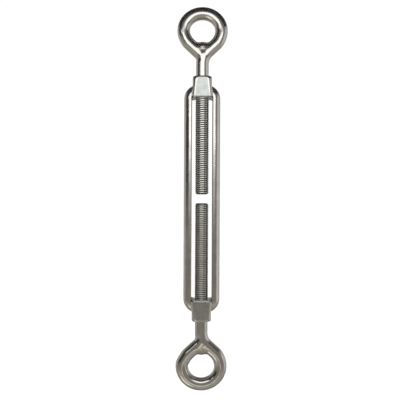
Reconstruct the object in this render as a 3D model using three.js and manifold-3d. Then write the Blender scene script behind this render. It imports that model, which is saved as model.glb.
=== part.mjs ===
// Rigging turnbuckle, eye and eye, M8, in millimetres.
// An open frame of two side bars welded to two square tapped blocks, and an eye bolt screwed into each
// block: a right-hand thread above and a left-hand thread below. Turning the frame while the eyes are
// held drives both eye bolts out or in. Shown screwed right in.
// Frame of reference: +Z runs up the turnbuckle's axis, -Y is the front and the origin is the middle of the
// turnbuckle, on its axis.

import * as THREE from "three";
import { mergeVertices } from "three/addons/utils/BufferGeometryUtils.js";
import Module from "manifold-3d";

const wasm = await Module();
wasm.setup();

// ---- driving dimensions ----------------------------------------------------------------------------

const FRAME_LENGTH = 142.4; // over the outer faces of the two end blocks
const BLOCK_HEIGHT = 12.6; // along the axis
const BLOCK_WIDTH = 11.2; // square across
const BLOCK_ROUNDING = 1.3; // of the outer end's edges
const BLOCK_CORNER = 0.3; // added to the rounding along the block's four long edges
const BORE_RADIUS = 4.3; // the tapped hole, drawn plain and clear of the bolt
const BORE_COUNTERSINK = 0.3;
const OVERCUT = 1; // how far a cutting solid runs past the face it cuts

// A side bar is a little over half of a round rod, with its flat on the inner side, so its section is a D.
const BAR_RADIUS = 4.0;
const BAR_WIDTH = 4.65; // from the flat to the far side of the round
const BAR_OFFSET = 8.28; // from the axis to the middle of that width
const BAR_BEND_RADIUS = 6; // centreline radius of a bar's bent end
const BAR_BEND_START = 0.3; // short of the block's inner face

const THREAD_RADIUS = 4; // M8, drawn plain at its crests
const ROD_RADIUS = 3.6; // the plain rod that the thread is rolled on, and that the eye is bent from

const EYE_REACH = 26.9; // from an eye's centre to the block's outer face, screwed right in
const BOLT_LENGTH = 95.5; // from an eye's centre to the thread's tip
const EYE_HALF_WIDTH = 11.2; // centreline radius of the eye, across the axis
const EYE_HALF_HEIGHT = 10.4; // the same on its far side, which is slightly flattened
const NECK_BEND_RADIUS = 5.4; // centreline radius where the shank turns into the eye
const SPREAD = (47.5 * Math.PI) / 180; // the angle between the shank and each side of the eye's throat
const TIP_CHAMFER = 1;

const RING_END = 5; // across the axis: the ring's sweep stops here, and its straight free end goes on
const FREE_END = 0.7; // across the axis: where the free end itself stops, short of the shank
const FREE_END_LAP = 1.5; // how far, across the axis, the free end starts back inside the ring
const FREE_END_INSET = 0.02; // the free end is this much thinner, so that its wall isn't in the ring's

const THROAT_WELD_FLOOR = 6.7; // from the eye's centre to the weld that closes its throat
const THROAT_WELD_HALF_WIDTH = 8.5; // at that floor, before the eye is cut out of it
const THROAT_WELD_TIP = 0.7; // short of where the two sides' centrelines meet
const THROAT_WELD_THICKNESS = 6.2;
const BEAD_RADII = [1.35, 2.1, 1.5]; // of a frame weld's bead, along X, Y and Z
const BEAD_OVERHANG = 0.15; // of the bead's middle, past the block's side

const GAP = 0.3; // between pieces that touch face to face
const TUBE_SIDES = 16;
const ROUND_SIDES = 24;
const BEAD_SIDES = [14, 10]; // round and up
const BEND_STEPS = 7; // of a bar's bent end
const BEND_REACH = (72 * Math.PI) / 180; // how far a bar's bend goes on, inside the block, before it is cut
const NECK_STEPS = 5;
const FLANK_STEPS = 5; // of the ring beside the throat
const FAR_STEPS = 26; // of the ring's far half
const CORNER_STEPS = 3; // round each of the block's long edges
const ROUNDING_STEPS = 4; // over the block's outer end

// Places that follow from them, along the axis and out from the middle.
const OUTER_FACE = FRAME_LENGTH / 2;
const INNER_FACE = OUTER_FACE - BLOCK_HEIGHT;
const EYE_CENTRE = OUTER_FACE + EYE_REACH;

// ---- finishes --------------------------------------------------------------------------------------

const steel = (color, roughness) => new THREE.MeshStandardMaterial({ color, roughness, metalness: 1 });
const POLISHED = steel(0xb9b5ad, 0.16);
const SATIN = steel(0xa9aaa6, 0.42);
const THREADED = steel(0x8d8c86, 0.34);
const WELD = steel(0xa39f96, 0.3);

// ---- solids ----------------------------------------------------------------------------------------

// A three.js geometry as a manifold-3d solid.
function solid(geometry) {
  const bare = geometry.clone();
  bare.deleteAttribute("normal");
  bare.deleteAttribute("uv");
  const merged = mergeVertices(bare, 1e-4);
  return new wasm.Manifold(
    new wasm.Mesh({
      numProp: 3,
      vertProperties: merged.attributes.position.array,
      triVerts: new Uint32Array(merged.index.array),
    }),
  );
}

// A solid as a named mesh.
function piece(name, shape, material) {
  const { vertProperties, triVerts } = shape.getMesh();
  const geometry = new THREE.BufferGeometry()
    .setAttribute("position", new THREE.BufferAttribute(vertProperties, 3))
    .setIndex(new THREE.BufferAttribute(triVerts, 1));
  geometry.computeVertexNormals();
  const mesh = new THREE.Mesh(geometry, material);
  mesh.name = name;
  return mesh;
}

const box = (x, y, z, cx, cy, cz) => solid(new THREE.BoxGeometry(x, y, z).translate(cx, cy, cz));

// A solid of revolution about Z, from a profile of [radius, height] points that starts and ends on the axis.
function turned(profile) {
  const points = profile.map(([r, z]) => new THREE.Vector2(r, z));
  return solid(new THREE.LatheGeometry(points, ROUND_SIDES).rotateX(Math.PI / 2));
}

// A path through stations in the XZ plane, each a point and the direction of travel there.
class StationPath extends THREE.Curve {
  constructor(stations) {
    super();
    this.stations = stations;
  }
  at(t) {
    return this.stations[Math.round(t * (this.stations.length - 1))];
  }
  getPointAt(t) {
    const [x, z] = this.at(t).point;
    return new THREE.Vector3(x, 0, z);
  }
  getTangentAt(t) {
    const [x, z] = this.at(t).heading;
    return new THREE.Vector3(x, 0, z).normalize();
  }
}

// The section of a round rod.
function round(radius) {
  const turns = Array.from({ length: TUBE_SIDES }, (_, i) => ((i + 0.5) / TUBE_SIDES) * 2 * Math.PI);
  return turns.map((turn) => new THREE.Vector2(Math.cos(turn), Math.sin(turn)).multiplyScalar(radius));
}

// A rod of a given section along stations. On a path that goes up, a section's second axis is +X.
function sweep(section, stations) {
  const extrudePath = new StationPath(stations);
  const steps = stations.length - 1;
  return solid(new THREE.ExtrudeGeometry(new THREE.Shape(section), { extrudePath, steps }));
}

// Stations along an arc of an ellipse, from one angle to another. Its angles run from +X towards +Z.
function arc([cx, cz], a, b, from, to, steps) {
  const sense = Math.sign(to - from);
  return Array.from({ length: steps + 1 }, (_, i) => {
    const angle = from + ((to - from) * i) / steps;
    return {
      point: [cx + a * Math.cos(angle), cz + b * Math.sin(angle)],
      heading: [-sense * a * Math.sin(angle), sense * b * Math.cos(angle)],
    };
  });
}

// ---- the frame -------------------------------------------------------------------------------------

// The left side is the right side turned half a turn about the axis.
const SIDES = [
  ["right", 0],
  ["left", Math.PI],
];

// A bar's bent end has its arc's centre this far from the axis, and its straight run starts level with it.
const BEND_CENTRE = BAR_OFFSET - BAR_BEND_RADIUS;
const BEND_HEIGHT = INNER_FACE - BAR_BEND_START;

// The section of the right-hand side bar, grown all round by a margin.
function barSection(margin) {
  const radius = BAR_RADIUS + margin;
  const middle = BAR_WIDTH / 2 - BAR_RADIUS;
  const flat = Math.asin((-BAR_WIDTH / 2 - margin - middle) / radius);
  return Array.from({ length: TUBE_SIDES }, (_, i) => {
    const turn = flat + ((Math.PI - 2 * flat) * i) / (TUBE_SIDES - 1);
    return new THREE.Vector2(radius * Math.cos(turn), middle + radius * Math.sin(turn));
  });
}

// The right-hand side bar, uncut. Both its ends run on into the blocks.
function uncutBar(margin = 0) {
  const bend = (height, from, to) =>
    arc([BEND_CENTRE, height], BAR_BEND_RADIUS, BAR_BEND_RADIUS, from, to, BEND_STEPS);
  const stations = [...bend(-BEND_HEIGHT, -BEND_REACH, 0), ...bend(BEND_HEIGHT, 0, BEND_REACH)];
  return sweep(barSection(margin), stations);
}

// The side bar, cut back to the blocks' side faces.
function sideBar() {
  const betweenSides = BLOCK_WIDTH + 2 * GAP;
  return uncutBar().subtract(box(betweenSides, betweenSides, 2 * FRAME_LENGTH, 0, 0, 0));
}

// An end block standing on its inner face at z = 0, with its rounded outer end up.
function endBlock() {
  // The bevel grows the outline by the rounding, so the outline starts that much smaller.
  const half = BLOCK_WIDTH / 2 - BLOCK_ROUNDING;
  const inner = half - BLOCK_CORNER;
  const outline = new THREE.Shape();
  outline.moveTo(half, inner);
  for (const [sx, sy, quarter] of [
    [1, 1, 0],
    [-1, 1, 1],
    [-1, -1, 2],
    [1, -1, 3],
  ]) {
    const start = (quarter * Math.PI) / 2;
    outline.absarc(sx * inner, sy * inner, BLOCK_CORNER, start, start + Math.PI / 2);
  }
  outline.closePath();
  const block = solid(
    new THREE.ExtrudeGeometry(outline, {
      depth: BLOCK_HEIGHT - BLOCK_ROUNDING,
      bevelEnabled: true,
      bevelSize: BLOCK_ROUNDING,
      bevelThickness: BLOCK_ROUNDING,
      bevelSegments: ROUNDING_STEPS,
      curveSegments: CORNER_STEPS,
    }),
  );
  const below = box(2 * BLOCK_WIDTH, 2 * BLOCK_WIDTH, BLOCK_HEIGHT, 0, 0, -BLOCK_HEIGHT / 2);
  const mouth = BORE_RADIUS + BORE_COUNTERSINK;
  const bore = turned([
    [0, -OVERCUT],
    [mouth + OVERCUT, -OVERCUT],
    [BORE_RADIUS, BORE_COUNTERSINK],
    [BORE_RADIUS, BLOCK_HEIGHT - BORE_COUNTERSINK],
    [mouth + OVERCUT, BLOCK_HEIGHT + OVERCUT],
    [0, BLOCK_HEIGHT + OVERCUT],
  ]);
  return block.subtract(below).subtract(bore);
}

// The bead in the corner between the right-hand bar and the upper block's inner face.
function cornerWeld() {
  const bead = new THREE.SphereGeometry(1, ...BEAD_SIDES)
    .scale(...BEAD_RADII)
    .translate(BLOCK_WIDTH / 2 + BEAD_OVERHANG, 0, INNER_FACE - GAP);
  const across = BLOCK_WIDTH + 2 * GAP;
  const block = box(across, across, BLOCK_HEIGHT, 0, 0, INNER_FACE + BLOCK_HEIGHT / 2 - GAP);
  return solid(bead).subtract(uncutBar(GAP)).subtract(block);
}

// One end of the frame, with its outer face up. The lower end is the upper end turned over about X.
function frameEnd(which) {
  const end = new THREE.Group();
  const block = piece(`${which}_end_block`, endBlock(), SATIN);
  block.position.z = INNER_FACE;
  end.add(block);
  for (const [side, turn] of SIDES) {
    const weld = piece(`${which}_${side}_weld`, cornerWeld(), WELD);
    weld.rotation.z = turn;
    end.add(weld);
  }
  return end;
}

function frame() {
  const group = new THREE.Group();
  for (const [side, turn] of SIDES) {
    const bar = piece(`${side}_side_bar`, sideBar(), POLISHED);
    bar.rotation.z = turn;
    group.add(bar);
  }
  const lowerEnd = frameEnd("lower");
  lowerEnd.rotation.x = Math.PI;
  group.add(frameEnd("upper"), lowerEnd);
  return group;
}

// ---- the eye bolts ---------------------------------------------------------------------------------

// An eye bolt stands with its eye's centre at the origin and its shank up. Its rod comes down the shank,
// turns out to the right, goes round the eye and comes back on the left to be welded to the shank.
const THROAT = EYE_HALF_WIDTH / Math.sin(SPREAD); // where both sides' centrelines meet the axis
const BEND_TOP = THROAT + NECK_BEND_RADIUS * Math.tan(SPREAD / 2);

// A point on the throat's left or right centreline, at a distance across the axis.
const throatPoint = (x) => [x, THROAT - Math.abs(x) / Math.tan(SPREAD)];

function eye(radius) {
  const shank = [{ point: [0, EYE_REACH - GAP / 2], heading: [0, -1] }];
  const neckCentre = [NECK_BEND_RADIUS, BEND_TOP];
  const neck = arc(neckCentre, NECK_BEND_RADIUS, NECK_BEND_RADIUS, -Math.PI, SPREAD - Math.PI, NECK_STEPS);

  // The ring is round beside the throat and slightly flattened beyond it.
  const ring = (height, from, to, steps) => arc([0, 0], EYE_HALF_WIDTH, height, from, to, steps);
  const flank = Math.PI / 2 - SPREAD;
  const loop = [
    ...ring(EYE_HALF_WIDTH, flank, 0, FLANK_STEPS).slice(0, -1),
    ...ring(EYE_HALF_HEIGHT, 0, -Math.PI, FAR_STEPS),
    ...ring(EYE_HALF_WIDTH, -Math.PI, -Math.PI - flank, FLANK_STEPS).slice(1),
  ];
  const end = { point: throatPoint(-RING_END), heading: [Math.sin(SPREAD), Math.cos(SPREAD)] };

  const [x, z] = throatPoint(-RING_END - FREE_END_LAP);
  const [tipX, tipZ] = throatPoint(-FREE_END);
  const length = Math.hypot(tipX - x, tipZ - z);
  const endRadius = radius - FREE_END_INSET;
  const freeEnd = new THREE.CylinderGeometry(endRadius, endRadius, length, TUBE_SIDES)
    .translate(0, length / 2, 0)
    .rotateX(Math.PI / 2)
    .rotateY(SPREAD)
    .translate(x, 0, z);
  return sweep(round(radius), [...shank, ...neck, ...loop, end]).add(solid(freeEnd));
}

// The weld that fills the throat, between the two sides of the eye.
function throatWeld() {
  const wedge = new THREE.Shape([
    new THREE.Vector2(-THROAT_WELD_HALF_WIDTH, THROAT_WELD_FLOOR),
    new THREE.Vector2(THROAT_WELD_HALF_WIDTH, THROAT_WELD_FLOOR),
    new THREE.Vector2(0, THROAT - THROAT_WELD_TIP),
  ]);
  const block = new THREE.ExtrudeGeometry(wedge, { depth: THROAT_WELD_THICKNESS, bevelEnabled: false })
    .rotateX(Math.PI / 2)
    .translate(0, THROAT_WELD_THICKNESS / 2, 0);
  return solid(block).subtract(eye(ROD_RADIUS + GAP));
}

// The threaded length of the shank, from the block's outer face to its tip.
function threadedShank() {
  return turned([
    [0, EYE_REACH + GAP / 2],
    [THREAD_RADIUS, EYE_REACH + GAP / 2],
    [THREAD_RADIUS, BOLT_LENGTH - TIP_CHAMFER],
    [THREAD_RADIUS - TIP_CHAMFER, BOLT_LENGTH],
    [0, BOLT_LENGTH],
  ]);
}

function eyeBolt(which) {
  const group = new THREE.Group();
  group.add(
    piece(`${which}_eye`, eye(ROD_RADIUS), POLISHED),
    piece(`${which}_eye_weld`, throatWeld(), WELD),
    piece(`${which}_threaded_shank`, threadedShank(), THREADED),
  );
  return group;
}

// ---- the turnbuckle --------------------------------------------------------------------------------

const turnbuckle = new THREE.Group();
const lowerBolt = eyeBolt("lower");
lowerBolt.position.z = -EYE_CENTRE;
const upperBolt = eyeBolt("upper");
upperBolt.rotation.x = Math.PI;
upperBolt.position.z = EYE_CENTRE;
turnbuckle.add(frame(), lowerBolt, upperBolt);

export default turnbuckle;
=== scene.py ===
"""The looks of the rigging turnbuckle: polished and satin stainless steel in a plain white studio.

Lengths are in metres. The CAD frame gives every place, and the names below give what it leaves to the looks.
An eye bolt is made standing on its eye: the eye's centre is at the origin and the shank points up.
"""

import math

import bmesh
import bpy
import numpy as np
from mathutils import Matrix, Vector, noise


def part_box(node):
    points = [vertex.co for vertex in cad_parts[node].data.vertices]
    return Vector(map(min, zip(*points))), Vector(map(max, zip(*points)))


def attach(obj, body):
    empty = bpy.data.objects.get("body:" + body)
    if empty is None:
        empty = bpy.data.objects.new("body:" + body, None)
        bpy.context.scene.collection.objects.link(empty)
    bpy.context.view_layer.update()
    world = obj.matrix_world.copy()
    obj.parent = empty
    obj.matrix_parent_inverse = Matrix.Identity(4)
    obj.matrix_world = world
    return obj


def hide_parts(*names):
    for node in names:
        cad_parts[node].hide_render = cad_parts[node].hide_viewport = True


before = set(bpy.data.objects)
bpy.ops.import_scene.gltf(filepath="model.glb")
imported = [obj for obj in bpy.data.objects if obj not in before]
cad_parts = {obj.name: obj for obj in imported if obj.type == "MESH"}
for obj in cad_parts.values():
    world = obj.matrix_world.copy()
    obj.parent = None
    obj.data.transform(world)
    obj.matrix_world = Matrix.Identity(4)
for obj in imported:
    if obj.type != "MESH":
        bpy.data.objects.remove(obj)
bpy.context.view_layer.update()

MM = 0.001

# ---- sizes -----------------------------------------------------------------------------------------

ROD = 3.7 * MM  # radius of the plain rod that an eye bolt is made from
BAR = 4.0 * MM  # radius of a side bar's round
BAR_WIDTH = 4.65 * MM  # from its flat to the far side of that round
BAR_EDGE = 0.75 * MM  # radius of the edges beside the flat
BAR_BEND = 6 * MM  # centreline radius of a bar's bent end
BAR_BEND_START = 0.3 * MM  # short of the block's inner face
BAR_BEND_TURN = math.radians(62)  # how far round its bent ends go, into the blocks

NECK_BEND = 10 * MM  # centreline radius of the rod where the shank runs into the eye
SPREAD = math.radians(47.5)  # between the shank and each side of the throat
THROAT = 11.1 * MM / math.sin(SPREAD)  # where both sides' centrelines meet the axis
BEND_TOP = THROAT + NECK_BEND * math.tan(SPREAD / 2)
STRAIGHT_STEP = 1 * MM  # the last straight step of the shank before that bend
FREE_END = 0.7 * MM  # from the axis to the end of the rod that comes back round

WELD_FLOOR = 6.8 * MM  # from the eye's centre to the weld in its throat
WELD_RADIUS = 3.3 * MM
WELD_REACH = 2.2 * MM  # each way across the throat
WELD_TOP = 14.6 * MM  # the end of its ridge up the neck
WELD_BLEND = 1.1 * MM  # how softly the weld runs into the rod
SEAM_BLEND = 1.1 * MM  # the same of the free end into the shank
SOFT_FROM = 3 * MM  # above the eye's centre, where these blends begin
SOFT_RISE = 4 * MM  # over which they grow
WELD_BUMPS = 0.06 * MM
WELD_BUMP_SPAN = 0.8 * MM

PITCH = 1.25 * MM
CREST = 3.97 * MM
ROOT = 3.42 * MM
GROOVE = 0.23  # half the width of a thread's groove, as a share of the pitch
CROWN = 0.3  # how much of a thread's depth is the gentle rounding over its crest
RUN_OUT = 1.5 * PITCH  # over which the thread grows out of the plain rod
RUN_OUT_LEAD = 0.1 * MM  # how far outside the block's outer face that begins
TIP_CHAMFER = 0.9 * MM
THREAD_LAP = 0.8 * MM  # how far the thread's blank end is sunk into the plain rod
THREAD_INSET = 0.02 * MM  # how much thinner than the plain rod that end is

FLAT_INNER = 8.9 * MM  # width of a block's flat at its inner end
FLAT_OUTER = 6.0 * MM  # the same at its outer end, before the arch takes its corners off
FLAT_ARCH = 0.95 * MM  # radius of the two corners at the flat's outer end
END_ROUNDING = 1.0 * MM  # over a block's outer end
BEVEL_HEIGHT = 0.85 * MM  # of the bevels in front of and behind the bore, at its inner end
BEVEL_DEPTH = 0.5 * MM
INNER_EDGE = 0.2 * MM  # easing of the same end over the side bars
RIM = 0.35 * MM  # width of the border round a block's flats, which is polished and also painted brighter as a highlight
RIM_FIRM = 0.08 * MM  # the part of it with the full polish and painted highlight
POLISH_AND_HIGHLIGHT_ON_BEVEL = 0.2  # how much of the edges' polish and painted highlight the bevels and the bore get, where an edge is 1
BORE = 4.06 * MM
BORE_MOUTH = 0.3 * MM

BEAD_BLOBS = 7
BEAD_SPAN = 1.9 * MM  # each way from the middle, along Y
BEAD_SIZE = 0.95 * MM
BEAD_TAPER = 0.25  # how much smaller its end blobs are, as a share
BEAD_IN = 0.15 * MM  # from the block's side into the block
BEAD_DOWN = 0.1 * MM  # from the block's inner face towards the middle of the frame
SEAM_BLOBS = 9
SEAM_SIZE = 0.62 * MM
SEAM_SPAN = (-0.95, 0.6)  # shares of the bar's half width, from its inner side outwards
BLOB_SHIFT = 0.15 * MM  # how far a blob is moved off its row along each axis, at most
BLOB_GROWTH = 0.18  # how much a blob's size varies, as a share
BLOB_SEED = 1  # without one, noise_vector starts from the clock and differs from run to run
BLOB_NOISE = (7.1, 1.7, 0.3)  # steps in the noise from weld to weld and from blob to blob, and a height in it

# ---- how finely things are made --------------------------------------------------------------------

EYE_VOXEL = 0.3 * MM
BEAD_VOXEL = 0.12 * MM
BEAD_SOFTENING = 4  # rounds of smoothing
BLOB_SUBDIVISIONS = 3
ROUGH_SIZE = 0.98  # of the shape whose points are then moved onto an eye's surface
SURFACE_STEPS = 5  # times that they are moved
CHUNK = 4000  # points measured at a time
SIDES = 48  # of a round section
NEAR_STEPS = 60  # along the neck's bend and each near side of an eye
FAR_STEPS = 120  # along each far quarter of an eye
THREAD_SIDES = 48
THREAD_ROWS = 16  # over one pitch
SPARE_TURNS = 3  # of thread beyond its two ends, to be cut off
BAR_BEND_STEPS = 24  # round each bent end of a bar
BAR_STEPS = 30  # along its straight part
BAR_ROUND_POINTS = 40
BAR_EDGE_POINTS = 8
BAR_FLAT_SHARES = (0.85, 0.3, -0.3, -0.85)  # where its flat has points, as shares of its half width
CORNER_STEPS = 10  # round a long edge of a block
ROUND_STEPS = 8  # over a block's outer end, and over the arch of its flats
STRAIGHT_STEPS = 6  # up a block below that arch
SIDE_STOPS = (RIM_FIRM, RIM)  # where a block's side has extra points, in from the ends of its flat
BEVEL_STOPS = (1, 0.9, 0.1)  # where its bevels have points, from their inner end to the flats
FACE_INSET = 0.97  # size of the ring just inside an end face, as a share of the face
TOUCHING = 0.001 * MM  # points nearer than this are one point
TINY = 1e-9  # stands in for a divisor of nought

# ---- places, from the frame ------------------------------------------------------------------------

block_low, block_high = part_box("upper_end_block")
BLOCK_HALF = block_high.x
OUTER_FACE = block_high.z
INNER_FACE = block_low.z
BAR_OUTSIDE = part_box("right_side_bar")[1].x
THREAD_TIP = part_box("upper_threaded_shank")[0].z
EYE_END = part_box("upper_eye")[1].z

# The upper end of the turnbuckle is its lower end turned over about X.
TURNED_OVER = Matrix.Rotation(math.pi, 4, "X")
# The left-hand side of the frame is its right-hand side turned half round Z.
TURNED_ROUND = Matrix.Rotation(math.pi, 4, "Z")


class Eye:
    """An eye's own size. Each is bent by hand round a former, so the two differ a little."""

    def __init__(self, half_width, far_height, dent):
        self.half_width = half_width  # centreline radius across the axis
        self.far_height = far_height  # centreline radius of the far side
        self.dent = dent  # how far the side with the free end is hammered in at the throat
        self.centre = EYE_END - far_height - ROD  # from the middle of the turnbuckle
        self.reach = self.centre - OUTER_FACE  # from the eye's centre to the block
        self.length = self.centre - THREAD_TIP  # from the eye's centre to the thread's tip


UPPER_EYE = Eye(11.06 * MM, 10.1 * MM, 0.25 * MM)
LOWER_EYE = Eye(11.25 * MM, 10.65 * MM, 0.85 * MM)
DENT_REACH = 6 * MM  # over which a dent grows, from level with the eye's centre


# ---- meshes ----------------------------------------------------------------------------------------


def new_piece(name, mesh):
    for polygon in mesh.polygons:
        polygon.use_smooth = True
    piece = bpy.data.objects.new(name, mesh)
    bpy.context.scene.collection.objects.link(piece)
    return piece


def mesh_from(name, points, faces):
    mesh = bpy.data.meshes.new(name)
    mesh.from_pydata([tuple(p) for p in points], [], faces)
    mesh.validate()
    return mesh


def lofted(rings, closed):
    """Points and faces through rings of equally many points. If closed, the last ring joins the first."""
    count = len(rings[0])
    points = [p for ring in rings for p in ring]
    faces = []
    for r in range(len(rings) if closed else len(rings) - 1):
        low, high = r * count, (r + 1) % len(rings) * count
        for i in range(count):
            j = (i + 1) % count
            faces.append((low + i, low + j, high + j, high + i))
    if not closed:
        faces.append(tuple(range(count))[::-1])
        faces.append(tuple(range(len(points) - count, len(points))))
    return points, faces


def smooth_step(share):
    share = min(max(share, 0), 1)
    return share * share * (3 - 2 * share)


def arc(centre, a, b, start, end, steps):
    """Points in the XZ plane along an arc of an ellipse, from angle start to end."""
    angles = np.linspace(start, end, steps + 1)
    return np.stack([centre[0] + a * np.cos(angles), centre[1] + b * np.sin(angles)], 1)


def sweep(path, section):
    """A section of (out, back) points along points in the XZ plane. Going up, out is towards +X."""
    headings = np.gradient(path, axis=0)
    headings /= np.linalg.norm(headings, axis=1)[:, None]
    rings = []
    for (x, z), (east, up) in zip(path, headings):
        rings.append([(x + out * up, back, z - out * east) for out, back in section])
    return lofted(rings, closed=False)


def round_section(radius):
    turns = [2 * math.pi * i / SIDES for i in range(SIDES)]
    return [(radius * math.cos(turn), radius * math.sin(turn)) for turn in turns]


def outward(mesh):
    grid = bmesh.new()
    grid.from_mesh(mesh)
    bmesh.ops.recalc_face_normals(grid, faces=grid.faces)
    grid.to_mesh(mesh)
    grid.free()


def remeshed(name, mesh, voxel, softening):
    """The outer skin of a mesh of overlapping solids, as one even mesh."""
    rough = new_piece("rough", mesh)
    remesh = rough.modifiers.new("remesh", "REMESH")
    remesh.mode = "VOXEL"
    remesh.voxel_size = voxel
    if softening:
        rough.modifiers.new("soften", "SMOOTH").iterations = softening
    graph = bpy.context.evaluated_depsgraph_get()
    skin = bpy.data.meshes.new_from_object(rough.evaluated_get(graph))
    skin.name = name
    bpy.data.objects.remove(rough)
    return skin


# ---- an eye, as the surface where a distance is nought ----------------------------------------------


def closest(points, path):
    """Distance to a path in the XZ plane, and the direction away from it, for each point."""
    low, along = path[:-1], np.diff(path, axis=0)
    square = (along**2).sum(1)
    distance = np.empty(len(points))
    away = np.empty((len(points), 3))
    for start in range(0, len(points), CHUNK):
        part = points[start : start + CHUNK]
        from_low = part[:, None, [0, 2]] - low
        share = np.clip((from_low * along).sum(2) / square, 0, 1)
        off = from_low - share[..., None] * along
        nearest = (off**2).sum(2).argmin(1)
        flat = off[np.arange(len(part)), nearest]
        vector = np.stack([flat[:, 0], part[:, 1], flat[:, 1]], 1)
        length = np.linalg.norm(vector, axis=1)
        distance[start : start + CHUNK] = length
        away[start : start + CHUNK] = vector / np.maximum(length, TINY)[:, None]
    return distance, away


def smooth_union(one, other, blend):
    """The union of two (distance, direction) fields, run together over a width of blend."""
    (d1, n1), (d2, n2) = one, other
    width = np.maximum(blend, TINY)
    share = np.clip(0.5 + 0.5 * (d2 - d1) / width, 0, 1)
    distance = d2 + (d1 - d2) * share - width * share * (1 - share)
    normal = n2 + (n1 - n2) * share[:, None]
    return distance, normal / np.linalg.norm(normal, axis=1)[:, None]


def eye_paths(eye):
    """The centrelines of the shank with the right half of the eye, and of the left half with the free end."""
    flank = math.pi / 2 - SPREAD
    near_height = THROAT * math.sin(SPREAD)
    shank = np.array([[0, eye.reach], [0, BEND_TOP + STRAIGHT_STEP]])
    neck = arc((NECK_BEND, BEND_TOP), NECK_BEND, NECK_BEND, -math.pi, SPREAD - math.pi, NEAR_STEPS)
    right = arc((0, 0), eye.half_width, near_height, flank, 0, NEAR_STEPS)[:-1]
    right_far = arc((0, 0), eye.half_width, eye.far_height, 0, -math.pi / 2, FAR_STEPS)
    left_far = arc((0, 0), eye.half_width, eye.far_height, -math.pi / 2, -math.pi, FAR_STEPS)[:-1]
    left = arc((0, 0), eye.half_width, near_height, -math.pi, -math.pi - flank, NEAR_STEPS)
    end = np.array([[-FREE_END, THROAT - FREE_END / math.tan(SPREAD)]])
    free_side = np.concatenate([left_far, left, end])
    inward = np.array([math.cos(SPREAD), -math.sin(SPREAD)])
    dented = np.array([smooth_step(z / DENT_REACH) for z in free_side[:, 1]])
    free_side = free_side + eye.dent * dented[:, None] * inward
    return np.concatenate([shank, neck, right, right_far]), free_side


WELD_HEIGHT = WELD_FLOOR + WELD_RADIUS
WELD_ACROSS = np.array([[-WELD_REACH, WELD_HEIGHT], [WELD_REACH, WELD_HEIGHT]])
WELD_UP = np.array([[0, WELD_HEIGHT], [0, WELD_TOP]])


def eye_field(eye, points):
    """Signed distance and direction of an eye with its weld, and how much of each point is weld."""
    right, left = (closest(points, path) for path in eye_paths(eye))
    rod = [(d - ROD, n) for d, n in (right, left)]
    near_throat = np.clip((points[:, 2] - SOFT_FROM) / SOFT_RISE, 0, 1)
    rods = smooth_union(*rod, SEAM_BLEND * near_throat)
    weld = [(d - WELD_RADIUS, n) for d, n in (closest(points, p) for p in (WELD_ACROSS, WELD_UP))]
    bead = smooth_union(*weld, WELD_BLEND)
    bumps = np.array([noise.noise(Vector(p) / WELD_BUMP_SPAN) for p in points])
    bead = (bead[0] - WELD_BUMPS * bumps, bead[1])
    amount = np.clip(0.5 + (rods[0] - bead[0]) / WELD_BLEND, 0, 1) * near_throat
    return (*smooth_union(rods, bead, WELD_BLEND * near_throat), amount)


def rough_eye(eye):
    """An eye's rods and weld, a little too thin, as one mesh of overlapping solids."""
    parts = [sweep(path, round_section(ROD * ROUGH_SIZE)) for path in eye_paths(eye)]
    parts += [sweep(path, round_section(WELD_RADIUS * ROUGH_SIZE)) for path in (WELD_ACROSS, WELD_UP)]
    points, faces = [], []
    for part_points, part_faces in parts:
        faces += [tuple(i + len(points) for i in face) for face in part_faces]
        points += part_points
    mesh = mesh_from("rough_eye", points, faces)
    outward(mesh)
    return mesh


def eye_mesh(name, eye, placed):
    mesh = remeshed(name, rough_eye(eye), EYE_VOXEL, 0)
    flat = np.empty(len(mesh.vertices) * 3)
    mesh.vertices.foreach_get("co", flat)
    points = flat.reshape(-1, 3)
    for _ in range(SURFACE_STEPS):
        distance, normal, amount = eye_field(eye, points)
        points = points - distance[:, None] * normal
        points[:, 2] = np.minimum(points[:, 2], eye.reach)
    mesh.vertices.foreach_set("co", points.ravel())
    weld = mesh.attributes.new("weld", "FLOAT", "POINT")
    weld.data.foreach_set("value", amount)
    mesh.transform(placed)
    mesh.update()
    outward(mesh)
    return mesh


# ---- the threaded length ---------------------------------------------------------------------------


def thread_profile(share):
    """How far out a thread's wall is, from 0 at the root to 1 on the broad crest, over one pitch."""
    wall = smooth_step(min(share, 1 - share) / GROOVE)
    return (1 - CROWN) * wall + CROWN * (1 - (2 * share - 1) ** 2)


def thread_row(eye, hand, low, high, row):
    """One turn of points up a thread's helix. Each row is a little further up the profile than the last."""
    blank = ROD - THREAD_INSET
    share = row / THREAD_ROWS
    out = ROOT + (CREST - ROOT) * thread_profile(share % 1)
    points = []
    for side in range(THREAD_SIDES + 1):
        turn = side / THREAD_SIDES
        z = low - PITCH + (share + turn) * PITCH
        fade = smooth_step((z - eye.reach + RUN_OUT_LEAD) / RUN_OUT)
        tip = CREST - TIP_CHAMFER + max(high - z, -PITCH)
        radius = min(blank + (out - blank) * fade, tip)
        angle = hand * 2 * math.pi * turn
        points.append((radius * math.cos(angle), radius * math.sin(angle), z))
    return points


def cut_level(grid, height, away):
    """Cuts off what is above a height (away 1) or below it (away -1), and closes the cut."""
    everything = [*grid.verts, *grid.edges, *grid.faces]
    plane = {"plane_co": (0, 0, height), "plane_no": (0, 0, away)}
    bmesh.ops.bisect_plane(grid, geom=everything, clear_outer=True, **plane)
    rim = [e for e in grid.edges if e.is_boundary and abs(e.verts[0].co.z - height) < TOUCHING]
    bmesh.ops.edgeloop_fill(grid, edges=rim)


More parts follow.
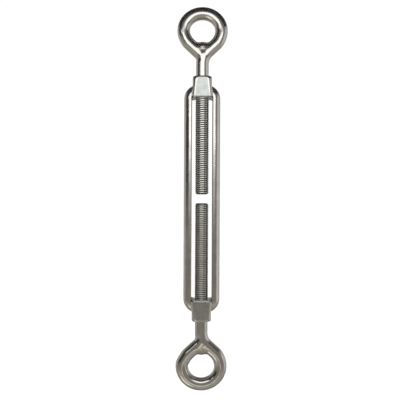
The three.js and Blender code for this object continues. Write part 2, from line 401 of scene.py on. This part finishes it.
def thread_mesh(name, eye, hand, placed):
    """A helical thread, right-handed if hand is 1. Its points know how deep in the groove they are."""
    low, high = eye.reach - THREAD_LAP, eye.length
    count = int((high - low) / PITCH + SPARE_TURNS) * THREAD_ROWS
    points = [p for row in range(count) for p in thread_row(eye, hand, low, high, row)]
    width = THREAD_SIDES + 1
    faces = []
    for row in range(count - 1):
        below, above = row * width, (row + 1) * width
        faces += [(below + i, below + i + 1, above + i + 1, above + i) for i in range(THREAD_SIDES)]
    mesh = mesh_from(name, points, faces)
    grid = bmesh.new()
    grid.from_mesh(mesh)
    bmesh.ops.remove_doubles(grid, verts=grid.verts, dist=TOUCHING)
    cut_level(grid, low, -1)
    cut_level(grid, high, 1)
    bmesh.ops.recalc_face_normals(grid, faces=grid.faces)
    grid.to_mesh(mesh)
    grid.free()
    # How deep in the groove each point is. The material paints a highlight on the crests and shade in the
    # roots from it.
    depth = mesh.attributes.new("depth", "FLOAT", "POINT")
    for i, vertex in enumerate(mesh.vertices):
        out = math.hypot(vertex.co.x, vertex.co.y)
        depth.data[i].value = min(max((CREST - out) / (CREST - ROOT), 0), 1)
    mesh.transform(placed)
    return mesh


# ---- the frame's pieces ----------------------------------------------------------------------------


def rounded_square(half, corner, z):
    """A ring of points round a square with rounded corners, with a few along each side."""
    ring = []
    flat = 2 * (half - corner)
    stops = [*SIDE_STOPS, flat / 2, *(flat - stop for stop in reversed(SIDE_STOPS))]
    for quarter in range(4):
        turn = Matrix.Rotation(quarter * math.pi / 2, 2)
        for i in range(CORNER_STEPS + 1):
            angle = math.pi / 2 * i / CORNER_STEPS
            middle = Vector((half - corner, half - corner))
            ring.append(turn @ (middle + corner * Vector((math.cos(angle), math.sin(angle)))))
        ring += [turn @ Vector((half - corner - stop, half)) for stop in stops]
    return [(x, y, z) for x, y in ring]


def rounded_circle(like, radius, z):
    """A ring of points round a circle, each in line with a point of another ring."""
    return [(radius * x / math.hypot(x, y), radius * y / math.hypot(x, y), z) for x, y, _ in like]


def flat_corner(level, height):
    """Radius of a block's long edges at a level over its straight sides. They take the flat's corners off."""
    inner, outer = BLOCK_HALF - FLAT_INNER / 2, BLOCK_HALF - FLAT_OUTER / 2
    share = min(max(level / height, 0), 1)
    over = min(max(level - height + FLAT_ARCH, 0), FLAT_ARCH)
    arch = FLAT_ARCH - math.sqrt(FLAT_ARCH**2 - over**2)
    return inner + (outer - inner) * share + arch


def bevel_rings(corner, top):
    """A block's rings at its inner end, from the lowest up to a height where the flats begin."""
    for share in BEVEL_STOPS:
        narrow = 1 - share**2 * INNER_EDGE / BLOCK_HALF
        shallow = 1 - share * BEVEL_DEPTH / BLOCK_HALF
        ring = rounded_square(BLOCK_HALF, corner, top - share * BEVEL_HEIGHT)
        yield [(narrow * x, shallow * y, z) for x, y, z in ring]


def outer_end_rings(corner, bottom):
    """A block's rings over its rounded outer end."""
    for i in range(1, ROUND_STEPS + 1):
        angle = math.pi / 2 * i / ROUND_STEPS
        inset = END_ROUNDING * (1 - math.cos(angle))
        yield rounded_square(BLOCK_HALF - inset, corner - inset, bottom + END_ROUNDING * math.sin(angle))


def inset_ring(ring):
    """The ring just inside an end face, so that the edge's shading doesn't run over the face."""
    return [(FACE_INSET * x, FACE_INSET * y, z) for x, y, z in ring]


def block_mesh(name, placed):
    """An upper end block, whose four long edges are rounder towards its outer end."""
    top = OUTER_FACE - END_ROUNDING
    bottom = INNER_FACE + BEVEL_HEIGHT
    height = top - bottom
    straight = height - FLAT_ARCH
    levels = [0, RIM_FIRM, RIM]
    levels += [straight * i / STRAIGHT_STEPS for i in range(1, STRAIGHT_STEPS + 1)]
    arch_turns = [math.pi / 2 * i / ROUND_STEPS for i in range(1, ROUND_STEPS + 1)]
    levels += [straight + FLAT_ARCH * math.sin(turn) for turn in arch_turns]
    rings = [*bevel_rings(flat_corner(0, height), bottom)]
    rings += [rounded_square(BLOCK_HALF, flat_corner(level, height), bottom + level) for level in levels]
    rings += outer_end_rings(flat_corner(height, height), top)
    like = rings[0]
    rings += [
        inset_ring(rings[-1]),
        rounded_circle(like, BORE + BORE_MOUTH, OUTER_FACE),
        rounded_circle(like, BORE, OUTER_FACE - BORE_MOUTH),
        rounded_circle(like, BORE, INNER_FACE + BORE_MOUTH),
        rounded_circle(like, BORE + BORE_MOUTH, INNER_FACE),
        inset_ring(like),
    ]
    mesh = mesh_from(name, *lofted(rings, closed=True))
    # The share of the edges' polish and painted highlight, which the satin material reads
    rim = mesh.attributes.new("rim", "FLOAT", "POINT")
    for i, vertex in enumerate(mesh.vertices):
        rim.data[i].value = rim_polish_and_highlight_share(vertex.co, bottom, height)
    mesh.transform(placed)
    outward(mesh)
    return mesh


def rim_polish_and_highlight_share(point, bottom, height):
    """How much of the edges' polish and painted highlight a point gets: 1 on a block's edges and just beside
    them, falling to 0 over the rest of the border of its flats. At the outer end the border lies on the
    rounding instead."""
    if point.z < bottom - BEVEL_STOPS[-1] * BEVEL_HEIGHT:
        return POLISH_AND_HIGHLIGHT_ON_BEVEL
    level = point.z - bottom
    across = min(abs(point.x), abs(point.y))
    inside = min(BLOCK_HALF - flat_corner(level, height) - across, level, height + RIM - level)
    return 1 - min(max((inside - RIM_FIRM) / (RIM - RIM_FIRM), 0), 1)


def bar_section():
    """The right-hand bar's section: a round with a flat on its inner side and an eased edge beside it."""
    middle = BAR_WIDTH / 2 - BAR
    flat = -BAR_WIDTH / 2
    edge_out = flat + BAR_EDGE
    edge_back = math.sqrt((BAR - BAR_EDGE) ** 2 - (edge_out - middle) ** 2)
    meeting = math.atan2(edge_back, edge_out - middle)
    round_turns = np.linspace(-meeting, meeting, BAR_ROUND_POINTS)
    section = [(middle + BAR * math.cos(t), BAR * math.sin(t)) for t in round_turns]
    edge_turns = np.linspace(meeting, math.pi, BAR_EDGE_POINTS)[1:]
    edge = [(edge_out + BAR_EDGE * math.cos(t), edge_back + BAR_EDGE * math.sin(t)) for t in edge_turns]
    flat_points = [(flat, edge_back * share) for share in BAR_FLAT_SHARES]
    return section + edge + flat_points + [(out, -back) for out, back in reversed(edge)]


def bar_mesh(name, side):
    """A side bar, whose bent ends run a little way into the blocks."""
    offset = BAR_OUTSIDE - BAR_WIDTH / 2
    centre = offset - BAR_BEND
    height = INNER_FACE - BAR_BEND_START
    straight = np.linspace(-height, height, BAR_STEPS)[1:-1]
    path = np.concatenate(
        [
            arc((centre, -height), BAR_BEND, BAR_BEND, -BAR_BEND_TURN, 0, BAR_BEND_STEPS),
            np.array([[offset, z] for z in straight]),
            arc((centre, height), BAR_BEND, BAR_BEND, 0, BAR_BEND_TURN, BAR_BEND_STEPS),
        ]
    )
    mesh = mesh_from(name, *sweep(path, bar_section()))
    if side == "left":
        mesh.transform(TURNED_ROUND)
    outward(mesh)
    return mesh


def corner_blobs():
    """Places and sizes of the blobs in the corner of the right-hand bar and the upper block's inner face."""
    for share in np.linspace(-1, 1, BEAD_BLOBS):
        size = BEAD_SIZE * (1 - BEAD_TAPER * share**2)
        yield Vector((BLOCK_HALF - BEAD_IN, share * BEAD_SPAN, INNER_FACE - BEAD_DOWN)), size


def seam_blobs(facing):
    """The same along the seam where that bar meets the block's side, at the front (-1) or the back (1)."""
    bend_centre = BAR_OUTSIDE - BAR_WIDTH / 2 - BAR_BEND
    for share in np.linspace(*SEAM_SPAN, SEAM_BLOBS):
        out = share * BAR_WIDTH / 2
        height = math.sqrt((BAR_BEND + out) ** 2 - (BLOCK_HALF - bend_centre) ** 2)
        depth = math.sqrt(BAR**2 - (out - BAR_WIDTH / 2 + BAR) ** 2)
        yield Vector((BLOCK_HALF, facing * depth, INNER_FACE - BAR_BEND_START + height)), SEAM_SIZE


def bead_mesh(name, side, placed, seed):
    """The welds that join a bar to the upper block: rows of overlapping blobs. The first mesh has the name
    too, so the finished one's name ends in .001."""
    noise.seed_set(BLOB_SEED)
    by_weld, by_blob, height = BLOB_NOISE
    grid = bmesh.new()
    for i, (spot, size) in enumerate([*corner_blobs(), *seam_blobs(-1), *seam_blobs(1)]):
        wobble = noise.noise_vector(Vector((seed * by_weld, i * by_blob, height)))
        spot += BLOB_SHIFT * wobble
        size *= 1 + BLOB_GROWTH * wobble.x
        moved = Matrix.Translation(spot)
        bmesh.ops.create_icosphere(grid, subdivisions=BLOB_SUBDIVISIONS, radius=size, matrix=moved)
    mesh = bpy.data.meshes.new(name)
    grid.to_mesh(mesh)
    grid.free()
    bead = remeshed(name, mesh, BEAD_VOXEL, BEAD_SOFTENING)
    if side == "left":
        bead.transform(TURNED_ROUND)
    bead.transform(placed)
    outward(bead)
    return bead


# ---- materials -------------------------------------------------------------------------------------


def fill_ramp(node, stops):
    """Gives a colour ramp its stops, each a place from 0 to 1 and a colour with its alpha."""
    while len(node.color_ramp.elements) < len(stops):
        node.color_ramp.elements.new(0.5)
    for element, (place, colour) in zip(node.color_ramp.elements, stops):
        element.position = place
        element.color = colour


def opaque(colour):
    """A colour with its alpha. One number stands for a grey."""
    return (*colour, 1) if isinstance(colour, tuple) else (colour, colour, colour, 1)


def mixed(tree, share, one, other, blend):
    """One colour mixed with another by a share, which is a number or a socket."""
    node = tree.nodes.new("ShaderNodeMix")
    node.data_type = "RGBA"
    node.blend_type = blend
    if isinstance(share, (int, float)):
        node.inputs["Factor"].default_value = share
    else:
        tree.links.new(share, node.inputs["Factor"])
    tree.links.new(one, node.inputs["A"])
    tree.links.new(other, node.inputs["B"])
    return node.outputs["Result"]


class Look:
    """A procedural metal, built up from noise in the piece's own coordinates."""

    def __init__(self, name):
        self.material = bpy.data.materials.new(name)
        self.material.use_nodes = True
        self.tree = self.material.node_tree
        self.nodes = self.tree.nodes
        self.links = self.tree.links
        self.shader = self.nodes["Principled BSDF"]
        self.shader.inputs["Metallic"].default_value = 1
        self.coordinates = self.nodes.new("ShaderNodeTexCoord").outputs["Object"]
        self.last_bump = None

    def noise(self, scale, detail=4, stretch=(1, 1, 1)):
        """Noise with about scale lumps a metre. A stretch below 1 draws them out along that axis."""
        mapping = self.nodes.new("ShaderNodeMapping")
        mapping.inputs["Scale"].default_value = stretch
        self.links.new(self.coordinates, mapping.inputs["Vector"])
        texture = self.nodes.new("ShaderNodeTexNoise")
        texture.inputs["Scale"].default_value = scale
        texture.inputs["Detail"].default_value = detail
        self.links.new(mapping.outputs["Vector"], texture.inputs["Vector"])
        return texture.outputs["Fac"]

    def attribute(self, name):
        node = self.nodes.new("ShaderNodeAttribute")
        node.attribute_name = name
        return node.outputs["Fac"]

    def ramp(self, source, *stops):
        """Turns a value into a colour or a grey. Each stop is a value and what it becomes."""
        node = self.nodes.new("ShaderNodeValToRGB")
        fill_ramp(node, [(place, opaque(colour)) for place, colour in stops])
        self.links.new(source, node.inputs["Fac"])
        return node.outputs["Color"]

    def mix(self, share, one, other, blend="MIX"):
        return mixed(self.tree, share, one, other, blend)

    def times(self, one, other):
        return self.mix(1.0, one, other, "MULTIPLY")

    def bump(self, source, depth, strength=1.0):
        node = self.nodes.new("ShaderNodeBump")
        node.inputs["Distance"].default_value = depth
        node.inputs["Strength"].default_value = strength
        self.links.new(source, node.inputs["Height"])
        if self.last_bump:
            self.links.new(self.last_bump, node.inputs["Normal"])
        self.last_bump = node.outputs["Normal"]

    def finish(self, colour, roughness):
        self.links.new(colour, self.shader.inputs["Base Color"])
        self.links.new(roughness, self.shader.inputs["Roughness"])
        if self.last_bump:
            self.links.new(self.last_bump, self.shader.inputs["Normal"])
        return self.material


def polished_steel():
    """Buffed rod: mirror bright, with faint drawing lines and a rougher, yellower weld."""
    look = Look("polished_steel")
    cloud = look.noise(160, 5)
    lines = look.noise(900, 6, (1, 1, 0.04))
    steel = look.ramp(cloud, (0.3, (0.60, 0.58, 0.545)), (0.7, (0.70, 0.685, 0.66)))
    weld_steel = look.ramp(look.noise(700, 4), (0.3, (0.42, 0.39, 0.34)), (0.7, (0.62, 0.59, 0.54)))
    weld = look.attribute("weld")
    colour = look.mix(weld, steel, weld_steel)
    shine = look.ramp(lines, (0.3, 0.07), (0.75, 0.15))
    dull = look.ramp(look.noise(1200, 3), (0.2, 0.14), (0.8, 0.3))
    look.bump(look.noise(240, 3, (1, 1, 0.5)), 0.12 * MM)
    look.bump(lines, 0.004 * MM, 0.25)
    return look.finish(colour, look.mix(weld, shine, dull))


def satin_steel():
    """Ground flats with polished edges, which are also painted brighter as a highlight: fine grain, scattered
    scratches and a few dull marks.
    """
    look = Look("satin_steel")
    grain = look.noise(1600, 5)
    marks = look.noise(420, 6)
    scratches = look.noise(1500, 3, (0.08, 0.08, 1))
    scores = look.ramp(look.noise(1400, 2, (0.16, 0.16, 1)), (0.66, 1.0), (0.7, 0.82))
    rim = look.attribute("rim")
    flecks = look.ramp(grain, (0.38, 0.76), (0.62, 1.0))
    ground = look.ramp(marks, (0.3, (0.49, 0.505, 0.49)), (0.62, (0.59, 0.61, 0.595)))
    face = look.times(look.times(ground, flecks), scores)
    # Painted highlight: the edges, and a little of the bevels and the bore, get a brighter colour than the
    # flats, as well as a lower roughness.
    edge = look.ramp(marks, (0.3, (0.60, 0.59, 0.56)), (0.7, (0.70, 0.69, 0.66)))
    dull = look.ramp(grain, (0.25, 0.21), (0.8, 0.36))
    bright = look.ramp(grain, (0.25, 0.08), (0.8, 0.15))
    look.bump(marks, 0.02 * MM, 0.3)
    look.bump(grain, 0.006 * MM, 0.35)
    look.bump(scratches, 0.006 * MM, 0.3)
    return look.finish(look.mix(rim, face, edge), look.mix(rim, dull, bright))


def threaded_steel():
    """Rolled thread: a painted highlight on the crests and painted shade in the roots, by depth in the
    groove, with patchy wear.
    """
    look = Look("threaded_steel")
    cloud = look.noise(260, 5)
    depth = look.attribute("depth")
    wear = look.ramp(cloud, (0.3, 0.78), (0.7, 1.0))
    # Painted light by depth in the groove: the crests are painted bright as a highlight, and the roots are
    # painted dark as shade.
    stops = (0.25, (0.86, 0.85, 0.82)), (0.55, (0.36, 0.355, 0.335)), (1.0, (0.12, 0.118, 0.11))
    metal = look.ramp(depth, *stops)
    dull = look.ramp(depth, (0.0, 0.12), (1.0, 0.4))
    look.bump(look.noise(1800, 4), 0.008 * MM, 0.3)
    return look.finish(look.times(metal, wear), dull)


def weld_steel():
    """A small electric weld, brushed clean: rippled, a little yellow."""
    look = Look("weld_steel")
    ripples = look.noise(900, 4)
    metal = look.ramp(ripples, (0.3, (0.52, 0.49, 0.43)), (0.7, (0.80, 0.78, 0.73)))
    dull = look.ramp(look.noise(1600, 3), (0.2, 0.15), (0.8, 0.34))
    look.bump(ripples, 0.04 * MM, 0.5)
    return look.finish(metal, dull)


# ---- the pieces ------------------------------------------------------------------------------------

POLISHED = polished_steel()
SATIN = satin_steel()
THREADED = threaded_steel()
WELD = weld_steel()


def place(mesh, material, slot, body, *nodes):
    """Shows a mesh in place of CAD nodes, on a body of the frame. The piece takes the mesh's name."""
    mesh.materials.clear()
    mesh.materials.append(material)
    piece = new_piece(mesh.name, mesh)
    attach(piece, body)
    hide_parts(*nodes)


def eye_bolt(which, eye, hand, turned):
    body = f"{which}_bolt"
    placed = turned @ Matrix.Translation((0, 0, -eye.centre))
    ring = eye_mesh(f"{which}_bolt_eye", eye, placed)
    place(ring, POLISHED, "polished_stainless", body, f"{which}_eye", f"{which}_eye_weld")
    thread = thread_mesh(f"{which}_bolt_thread", eye, hand, placed)
    place(thread, THREADED, "threaded_stainless", body, f"{which}_threaded_shank")


def frame_end(which, placed, seed):
    block = block_mesh(f"{which}_block", placed)
    place(block, SATIN, "satin_stainless", "frame", f"{which}_end_block")
    for number, side in enumerate(("right", "left")):
        bead = bead_mesh(f"{which}_{side}_bead", side, placed, seed + number)
        place(bead, WELD, "weld_metal", "frame", f"{which}_{side}_weld")


frame_end("upper", Matrix.Identity(4), 1)
frame_end("lower", TURNED_OVER, 3)
for side in ("left", "right"):
    bar = bar_mesh(f"{side}_bar", side)
    place(bar, POLISHED, "polished_stainless", "frame", f"{side}_side_bar")
eye_bolt("upper", UPPER_EYE, 1, TURNED_OVER)
eye_bolt("lower", LOWER_EYE, -1, Matrix.Identity(4))

# ---- the studio ------------------------------------------------------------------------------------

FLOOR_HEIGHT = -0.2  # below the lower eye at full reach
FLOOR_HALF = 8.0
SUN_STRENGTH = 3.35
SUN_ANGLE = math.radians(20)
CAMERA_DISTANCE = 0.333
CAMERA_OFFSET = (-1.05 * MM, -0.7 * MM)  # of the camera from the turnbuckle's middle, along X and Z
CAMERA_ROLL = math.radians(-0.27)
LENS = 51.2
CLIP_START = 0.01
SOFTBOX_DISTANCE = 0.2
SOFTBOX_SIDES = (-0.125, 0.14)
SOFTBOX_BOTTOM = -0.07
SOFTBOX_TOP = 0.172
SOFTBOX_STRENGTH = 1.6
WINDOW_DISTANCE = 0.6
WINDOW_SIDES = (-0.63, -0.47)
WINDOW_BOTTOM = 0.2
WINDOW_TOP = 0.31
WINDOW_STRENGTH = 1.3
HOOD_HEIGHT = 0.17
HOOD_SIDES = (-0.16, 0.16)
HOOD_FRONT = -0.086
HOOD_BACK = 0.044
PAPER_SHADE = 0.92
HOOD_SHADE = 0.03
CARD_ROUGHNESS = 0.9
BACKDROP = 1.03  # brightness of the white that the camera sees behind the turnbuckle
LOW_LEFT = (-0.46, -0.45, -0.76)  # direction of the light low down on the left
LOW_LEFT_WIDTH = (11, 19)  # degrees from its middle to where it starts to dim, and to where it ends
LOW_FRONT = (0, -0.927, -0.375)
LOW_FRONT_WIDTH = (4, 8)
GREEN_SHARE = 0.35  # how much of its warmth a warm grey takes from the green


def matte(name, shade):
    """Dull grey paper or card."""
    material = bpy.data.materials.new(name)
    material.use_nodes = True
    shader = material.node_tree.nodes["Principled BSDF"]
    shader.inputs["Base Color"].default_value = (shade, shade, shade, 1)
    shader.inputs["Roughness"].default_value = CARD_ROUGHNESS
    return material


def glowing(name, strength):
    """A material that only gives light, with its node tree and the node that gives the light."""
    material = bpy.data.materials.new(name)
    material.use_nodes = True
    tree = material.node_tree
    emission = tree.nodes.new("ShaderNodeEmission")
    emission.inputs["Strength"].default_value = strength
    tree.links.new(emission.outputs[0], tree.nodes["Material Output"].inputs["Surface"])
    return material, tree, emission


def card(name, corners, material):
    made = new_piece(name, mesh_from(name, corners, [(0, 1, 2, 3)]))
    made.data.materials.append(material)
    return made


def level_card(name, sides, front, back, height, material):
    (left, right), z = sides, height
    corners = [(left, front, z), (right, front, z), (right, back, z), (left, back, z)]
    return card(name, corners, material)


def upright_card(name, sides, distance, low, high, material):
    """A card in front of the turnbuckle, facing it."""
    (left, right), y = sides, -distance
    corners = [(left, y, low), (right, y, low), (right, y, high), (left, y, high)]
    return card(name, corners, material)


def only_reflected(made):
    """Keeps a card out of the camera's sight and stops it from casting a shadow."""
    made.visible_camera = False
    made.visible_shadow = False


def studio_floor():
    sides = (-FLOOR_HALF, FLOOR_HALF)
    floor = level_card("studio_floor", sides, *sides, FLOOR_HEIGHT, matte("paper", PAPER_SHADE))
    floor.visible_glossy = False


def sun():
    data = bpy.data.lights.new("sun", "SUN")
    data.energy = SUN_STRENGTH
    data.angle = SUN_ANGLE
    light = bpy.data.objects.new("sun", data)
    light.visible_glossy = False
    bpy.context.scene.collection.objects.link(light)


def grey(value, warmth=0.0):
    """A grey with its alpha. Warmth takes away blue, and a share of that from the green."""
    return (value, value * (1 - GREEN_SHARE * warmth), value * (1 - warmth), 1)


def add_ramp(tree, source, low, high, stops):
    """A colour ramp over source, whose stops are (value of source, colour)."""
    reach = tree.nodes.new("ShaderNodeMapRange")
    reach.inputs["From Min"].default_value = low
    reach.inputs["From Max"].default_value = high
    tree.links.new(source, reach.inputs["Value"])
    node = tree.nodes.new("ShaderNodeValToRGB")
    fill_ramp(node, [((value - low) / (high - low), colour) for value, colour in stops])
    tree.links.new(reach.outputs["Result"], node.inputs["Fac"])
    return node.outputs["Color"]


def softbox():
    """The main light: a card in front, bright above the height of the camera and dim below it."""
    low, high = SOFTBOX_BOTTOM, SOFTBOX_TOP
    cloth, tree, emission = glowing("softbox_cloth", SOFTBOX_STRENGTH)
    height = tree.nodes.new("ShaderNodeSeparateXYZ")
    tree.links.new(tree.nodes.new("ShaderNodeTexCoord").outputs["Object"], height.inputs[0])
    # Each stop is a height above the turnbuckle's middle and the light that comes from there.
    stops = [
        (low, grey(0.13, 0.15)),
        (-0.028, grey(0.18, 0.1)),
        (0.012, grey(0.36)),
        (0.03, grey(0.5)),
        (0.052, grey(0.9)),
        (0.065, grey(1.0)),
        (0.146, grey(1.0)),
        (0.162, grey(0.35)),
        (high, grey(0.2)),
    ]
    tree.links.new(add_ramp(tree, height.outputs["Z"], low, high, stops), emission.inputs["Color"])
    box = upright_card("softbox", SOFTBOX_SIDES, SOFTBOX_DISTANCE, low, high, cloth)
    only_reflected(box)


def window():
    """A small light far off on the left, which the lower eye shows as a bright line."""
    glow, _, _ = glowing("window_glow", WINDOW_STRENGTH)
    pane = upright_card("window", WINDOW_SIDES, WINDOW_DISTANCE, WINDOW_BOTTOM, WINDOW_TOP, glow)
    only_reflected(pane)


def hood():
    """A black card just above where the upper eye is at full reach. It keeps that eye's upper side dark."""
    black = matte("black_card", HOOD_SHADE)
    shade = level_card("hood", HOOD_SIDES, HOOD_FRONT, HOOD_BACK, HOOD_HEIGHT, black)
    only_reflected(shade)
    shade.visible_diffuse = False


def studio_world():
    """White where the camera looks at it. In reflections it is a plain room: warm and dim in front, dark
    overhead and high on the left, light grey behind and on the right, with warm lights low down in front
    and on the left."""
    world = bpy.data.worlds.new("studio")
    world.use_nodes = True
    bpy.context.scene.world = world
    tree = world.node_tree
    direction = tree.nodes.new("ShaderNodeTexCoord").outputs["Generated"]
    split = tree.nodes.new("ShaderNodeSeparateXYZ")
    tree.links.new(direction, split.inputs[0])
    east, north, up = split.outputs

    def mix(share, one, other, blend="MIX"):
        return mixed(tree, share, one, other, blend)

    def ramp(source, *stops):
        return add_ramp(tree, source, -1, 1, stops)

    def patch(walls, centre, width, colour):
        """A soft round light over the walls about a direction."""
        product = tree.nodes.new("ShaderNodeVectorMath")
        product.operation = "DOT_PRODUCT"
        tree.links.new(direction, product.inputs[0])
        product.inputs[1].default_value = Vector(centre).normalized()
        middle, edge = (math.cos(math.radians(degrees)) for degrees in width)
        share = add_ramp(tree, product.outputs["Value"], edge, middle, [(edge, grey(0)), (middle, grey(1))])
        return mix(share, walls, ramp(up, (-1, colour), (1, colour)))

    # Each stop of a vertical ramp is the sine of an elevation and the light that comes from there.
    front = ramp(
        up,
        (-1.0, grey(0.36, 0.15)),
        (-0.75, grey(0.42, 0.15)),
        (-0.5, grey(0.44, 0.16)),
        (-0.35, grey(0.32, 0.16)),
        (-0.2, grey(0.25, 0.15)),
        (-0.1, grey(0.24, 0.14)),
        (0.12, grey(0.26, 0.08)),
        (0.4, grey(0.20, 0.05)),
        (0.56, grey(0.12, 0.05)),
        (1.0, grey(0.10, 0.05)),
    )
    behind = ramp(
        up,
        (-1.0, grey(0.22, 0.15)),
        (-0.35, grey(0.42, 0.1)),
        (0.0, grey(0.52, 0.05)),
        (0.35, grey(0.48, 0.05)),
        (0.6, grey(0.16, 0.05)),
        (1.0, grey(0.10, 0.05)),
    )
    # A dark flag hides the left side in front, above the horizon.
    flag_side = ramp(east, (-0.62, grey(1)), (-0.5, grey(0)))
    flag_height = ramp(up, (-0.06, grey(0)), (0.06, grey(1)))
    flag = mix(1.0, flag_side, flag_height, "MULTIPLY")
    flagged = mix(flag, front, ramp(up, (-1, grey(0.075, 0.05)), (1, grey(0.04, 0.05))))
    # The walls behind the turnbuckle and on the right are lighter.
    rear = ramp(north, (-0.2, grey(0)), (0.25, grey(1)))
    walls = mix(rear, flagged, behind)
    right_wall = ramp(
        up,
        (-1, grey(0.3, 0.1)),
        (-0.2, grey(0.66, 0.06)),
        (0.3, grey(0.66, 0.04)),
        (0.6, grey(0.2)),
    )
    walls = mix(ramp(east, (0.84, grey(0)), (0.95, grey(1))), walls, right_wall)
    walls = patch(walls, LOW_LEFT, LOW_LEFT_WIDTH, grey(1.0, 0.16))
    walls = patch(walls, LOW_FRONT, LOW_FRONT_WIDTH, grey(0.9, 0.2))

    white = tree.nodes.new("ShaderNodeBackground")
    white.inputs["Color"].default_value = (1, 1, 1, 1)
    white.inputs["Strength"].default_value = BACKDROP
    room = tree.nodes["Background"]
    tree.links.new(walls, room.inputs["Color"])
    chooser = tree.nodes.new("ShaderNodeMixShader")
    tree.links.new(tree.nodes.new("ShaderNodeLightPath").outputs["Is Camera Ray"], chooser.inputs["Fac"])
    tree.links.new(room.outputs[0], chooser.inputs[1])
    tree.links.new(white.outputs[0], chooser.inputs[2])
    tree.links.new(chooser.outputs[0], tree.nodes["World Output"].inputs["Surface"])


def camera():
    data = bpy.data.cameras.new("camera")
    data.lens = LENS
    data.clip_start = CLIP_START
    made = bpy.data.objects.new("camera", data)
    made.location = (CAMERA_OFFSET[0], -CAMERA_DISTANCE, CAMERA_OFFSET[1])
    made.rotation_euler = (math.pi / 2, CAMERA_ROLL, 0)
    bpy.context.scene.collection.objects.link(made)
    bpy.context.scene.camera = made


studio_floor()
sun()
softbox()
window()
hood()
studio_world()
camera()
bpy.context.scene.view_settings.view_transform = "Standard"
